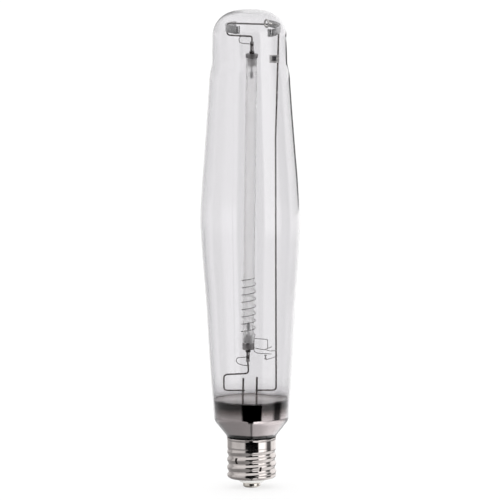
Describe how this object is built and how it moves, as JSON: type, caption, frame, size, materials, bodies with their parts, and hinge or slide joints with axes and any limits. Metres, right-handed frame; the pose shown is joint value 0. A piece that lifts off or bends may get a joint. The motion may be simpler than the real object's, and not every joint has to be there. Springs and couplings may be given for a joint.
{
  "type": "high pressure sodium grow lamp",
  "caption": "Clear-jacketed high pressure sodium grow lamp with a mogul screw base, a floating ceramic arc tube on bent wires, a starting-aid coil and a thermal switch.",
  "frame": {"origin": "middle of the centre contact's lower face, on the lamp's axis", "axes": "+Z along the lamp's axis from the base to the dome, +X towards the long return wire, -Y towards the viewer in the reference view"},
  "size_m": [0.0794, 0.0794, 0.383],
  "materials": {
    "jacket_glass": "clear hard glass, polished",
    "stem_glass": "clear glass, slightly green in the thick press",
    "getter_film": "dark brownish getter mirror on the inside of the glass",
    "nickel_plate": "bright nickel plate on brass",
    "white_ceramic": "white vitrified ceramic",
    "plated_brass": "nickel-plated brass eyelet",
    "solder": "dull lead-free solder",
    "copper_lead": "soft copper-clad lead wire",
    "support_wire": "nickelled wire, slightly oxidised",
    "spring_steel": "plain stainless spring strip",
    "getter_steel": "bright nickel-plated steel",
    "getter_powder": "dark pressed getter powder in a steel cup",
    "alumina": "translucent polycrystalline alumina",
    "end_ceramic": "alumina closure, greyed by its metal fill",
    "frit": "dark sealing frit",
    "niobium": "dull grey niobium",
    "tungsten": "dark tungsten with emitter coating",
    "fine_wire": "thin bright molybdenum wire, lightly oxidised",
    "bimetal": "rolled bimetal strip",
    "spool_ceramic": "small steatite spool"
  },
  "bodies": {
    "lamp": {"outer_jacket": "jacket_glass", "getter_mirror": "getter_film", "screw_shell": "nickel_plate", "base_insulator": "white_ceramic", "centre_contact": "plated_brass", "contact_solder": "solder", "stem_glass": "stem_glass", "exhaust_tube": "stem_glass", "lead_post_left": "support_wire", "lead_post_right": "support_wire", "centre_lead": "copper_lead", "shell_lead": "copper_lead", "frame_wire": "support_wire", "lower_support_wire": "support_wire", "bumper_spring_left": "spring_steel", "bumper_spring_right": "spring_steel", "ring_getter": "getter_steel", "ring_getter_holder": "getter_steel", "flat_getter": "getter_powder", "flat_getter_tab": "getter_steel", "upper_strap": "fine_wire", "lower_strap": "fine_wire", "starting_aid_wire": "fine_wire", "switch_bracket": "spring_steel", "aid_insulator": "spool_ceramic", "insulator_bracket": "fine_wire"},
    "arc_tube_body": {"arc_tube": "alumina", "upper_end_plug": "end_ceramic", "lower_end_plug": "end_ceramic", "upper_frit_ring": "frit", "lower_frit_ring": "frit", "upper_niobium_tube": "niobium", "lower_niobium_tube": "niobium", "upper_electrode_rod": "tungsten", "upper_electrode_coil": "tungsten", "lower_electrode_rod": "tungsten", "lower_electrode_coil": "tungsten"},
    "thermal_switch": {"bimetal_blade": "bimetal", "contact_finger_lower": "fine_wire", "contact_finger_upper": "fine_wire"}
  },
  "joints": [
    {"name": "arc_tube_float", "type": "slide", "parent": "lamp", "child": "arc_tube_body", "axis": [0.0175, 0, 0.9998], "range_m": [-0.001, 0.001], "stiffness_N_per_m": 2000, "deforming": ["upper_strap", "lower_strap"]},
    {"name": "switch_open", "type": "hinge", "parent": "lamp", "child": "thermal_switch", "pos_m": [0.0155, -0.00345, 0.1096], "axis": [0, 1, 0], "range_deg": [0, 6], "stiffness_Nm_per_rad": 0.02}
  ]
}
